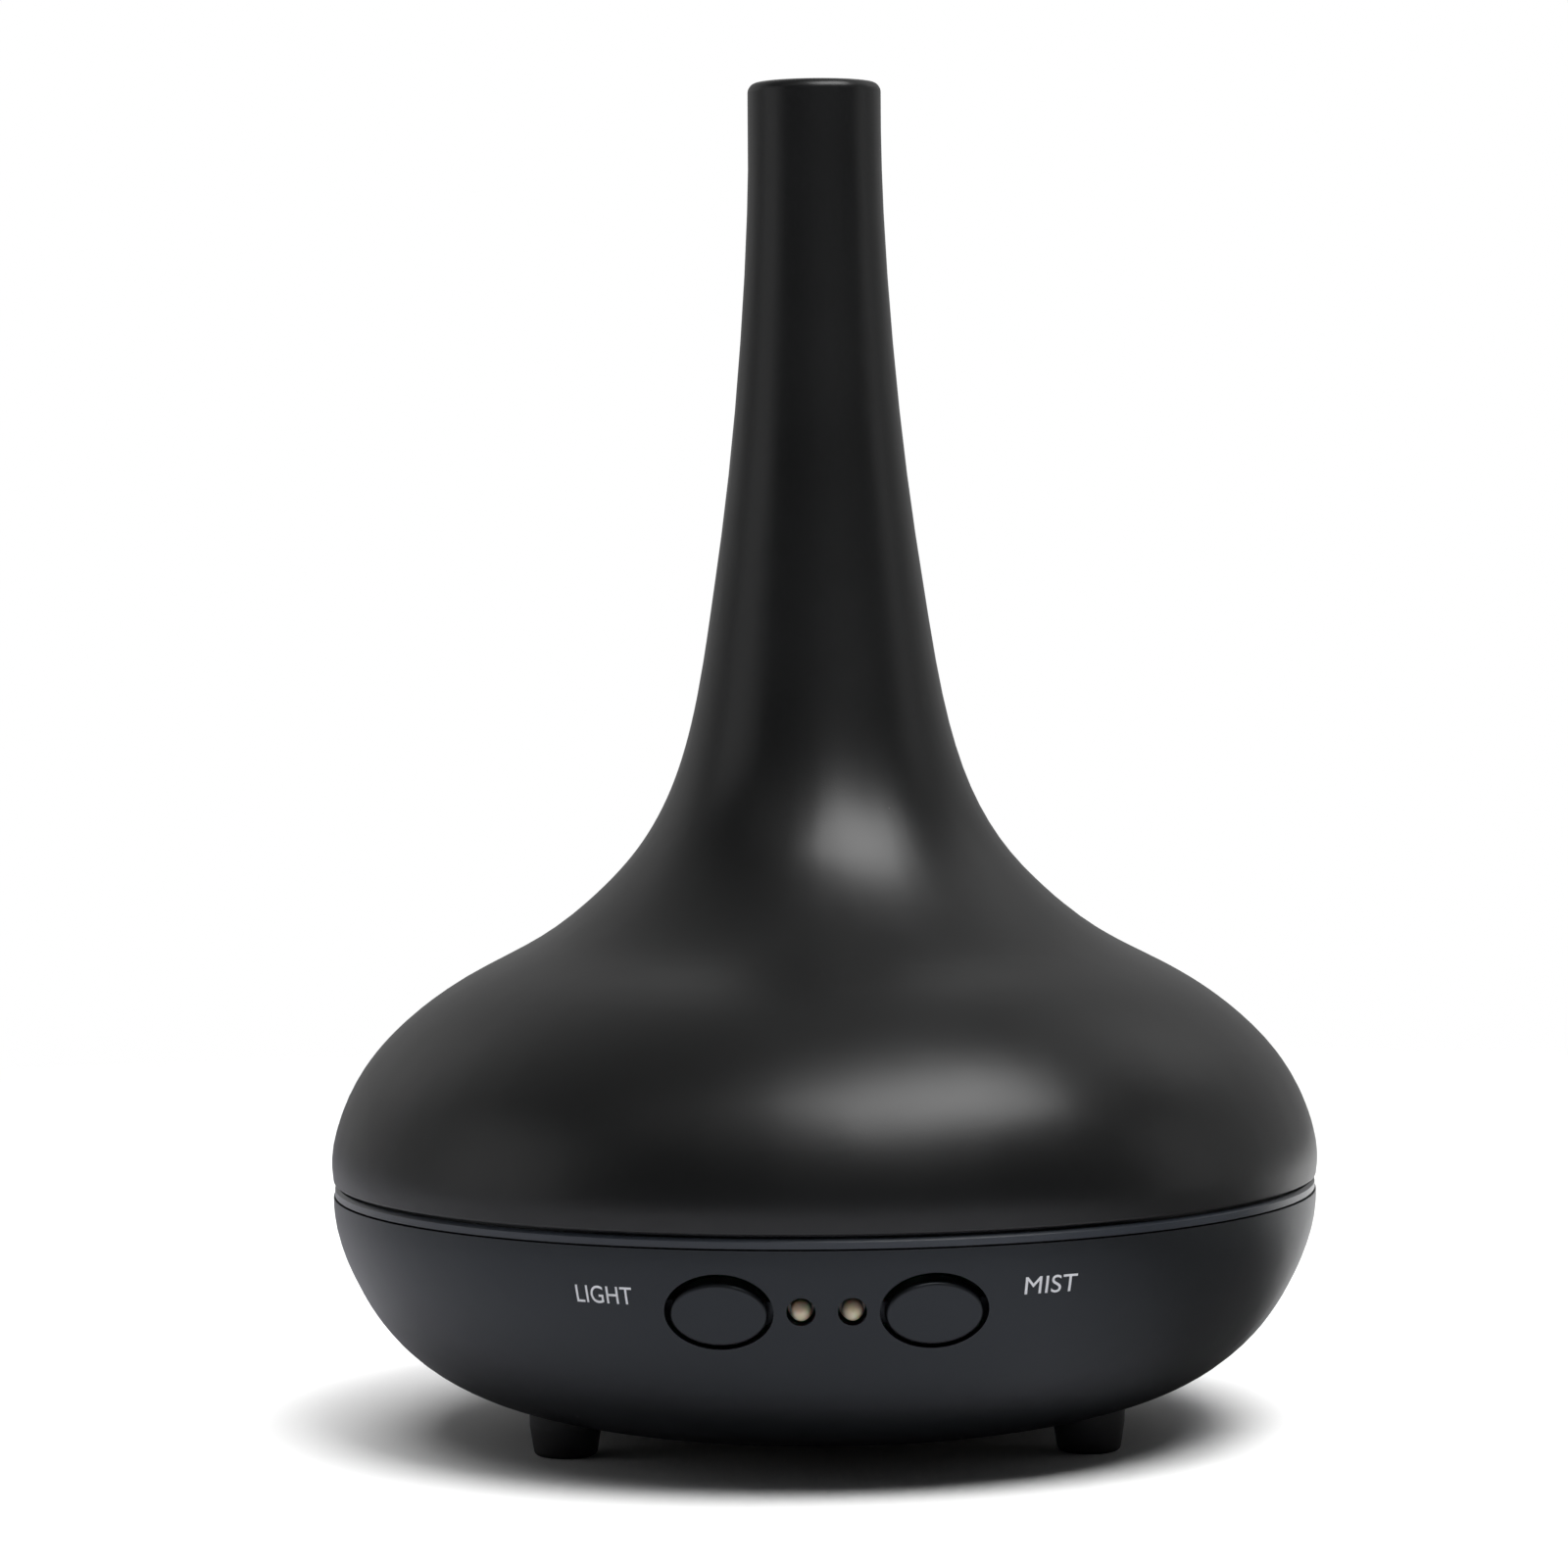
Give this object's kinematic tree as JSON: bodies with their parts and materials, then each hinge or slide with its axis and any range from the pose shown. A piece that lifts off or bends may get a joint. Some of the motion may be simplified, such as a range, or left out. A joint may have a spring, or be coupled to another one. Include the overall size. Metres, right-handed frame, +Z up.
{
  "type": "cool mist humidifier",
  "caption": "Bottle-shaped cool mist humidifier: a tall-necked cover lifts off a bowl-shaped base that holds a water tank, an ultrasonic disc, a fan and push buttons.",
  "frame": {"origin": "on the surface it stands on, under the middle of the base", "axes": "+Z up along the neck; the buttons face -Y and the power socket faces +Y; +X is to the right seen from the front"},
  "size_m": [0.15, 0.15, 0.205],
  "materials": {
    "cover_plastic": "satin soft-touch black",
    "base_plastic": "satin soft-touch black",
    "button_plastic": "satin black",
    "ring_plastic": "smoky blue-grey, semi-gloss",
    "guide_plastic": "satin black",
    "tank_plastic": "milky, satin",
    "foot_rubber": "matt black",
    "lamp_lens": "milky diffused lens",
    "steel": "zinc plated",
    "clamp_steel": "stamped stainless",
    "piezo_metal": "plated ceramic disc",
    "silicone": "translucent silicone",
    "fan_plastic": "glass-filled black",
    "bronze": "sintered bronze",
    "copper_wire": "enamelled copper",
    "white_board": "white solder mask",
    "green_board": "green solder mask",
    "led_plastic": "white body, clear lens",
    "ferrite": "ferrite drum with copper winding",
    "can_aluminium": "sleeved can",
    "sink_aluminium": "extruded fins",
    "chip_plastic": "moulded epoxy",
    "header_plastic": "natural nylon",
    "stem_plastic": "black nylon",
    "socket_plastic": "moulded black",
    "pin_metal": "nickel plated",
    "lead_sleeve": "PVC sleeve"
  },
  "bodies": {
    "base": {"base_shell": "base_plastic", "light_ring": "ring_plastic", "water_tank": "tank_plastic", "duct_hood": "tank_plastic", "piezo_disc": "piezo_metal", "piezo_seal": "silicone", "piezo_clamp": "clamp_steel", "clamp_screws": "steel", "fan_frame": "fan_plastic", "fan_bearing": "bronze", "fan_coil": "copper_wire", "fan_screws": "steel", "led_board": "white_board", "colour_leds": "led_plastic", "led_screws": "steel", "main_board": "green_board", "board_screws": "steel", "drive_coil": "ferrite", "capacitors": "can_aluminium", "heat_sink": "sink_aluminium", "drive_transistor": "chip_plastic", "control_chip": "chip_plastic", "lead_headers": "header_plastic", "switch_board": "green_board", "switch_board_screws": "steel", "light_switch_body": "chip_plastic", "mist_switch_body": "chip_plastic", "light_indicator": "lamp_lens", "mist_indicator": "lamp_lens", "dc_socket": "socket_plastic", "dc_pin": "pin_metal", "foot_back": "foot_rubber", "foot_front_left": "foot_rubber", "foot_front_right": "foot_rubber", "base_screws": "steel", "fan_lead": "lead_sleeve", "piezo_lead": "lead_sleeve", "led_lead": "lead_sleeve", "switch_lead": "lead_sleeve", "power_lead": "lead_sleeve"},
    "cover_unit": {"cover": "cover_plastic", "mist_guide": "guide_plastic", "guide_screws": "steel"},
    "light_push": {"light_button": "button_plastic"},
    "mist_push": {"mist_button": "button_plastic"},
    "light_plunger": {"light_switch_stem": "stem_plastic"},
    "mist_plunger": {"mist_switch_stem": "stem_plastic"},
    "fan_rotor": {"fan_impeller": "fan_plastic", "fan_axle": "steel"}
  },
  "joints": [
    {"name": "cover_lift", "type": "slide", "parent": "base", "child": "cover_unit", "axis": [0, 0, 1], "range_m": [0, 0.12]},
    {"name": "light_button_press", "type": "slide", "parent": "base", "child": "light_push", "axis": [0, 1, 0], "range_m": [0, 0.0004], "stiffness_N_per_m": 1500, "springref_m": -0.0006},
    {"name": "mist_button_press", "type": "slide", "parent": "base", "child": "mist_push", "axis": [0, 1, 0], "range_m": [0, 0.0004], "stiffness_N_per_m": 1500, "springref_m": -0.0006},
    {"name": "light_plunger_slide", "type": "slide", "parent": "base", "child": "light_plunger", "axis": [0, 1, 0], "range_m": [0, 0.0004]},
    {"name": "mist_plunger_slide", "type": "slide", "parent": "base", "child": "mist_plunger", "axis": [0, 1, 0], "range_m": [0, 0.0004]},
    {"name": "fan_spin", "type": "hinge", "parent": "base", "child": "fan_rotor", "pos_m": [-0.03, 0.008, 0.0145], "axis": [0, 0, 1], "continuous": true}
  ],
  "couplings": [
    {"joint": "light_plunger_slide", "follows": "light_button_press", "ratio": 1},
    {"joint": "mist_plunger_slide", "follows": "mist_button_press", "ratio": 1}
  ]
}
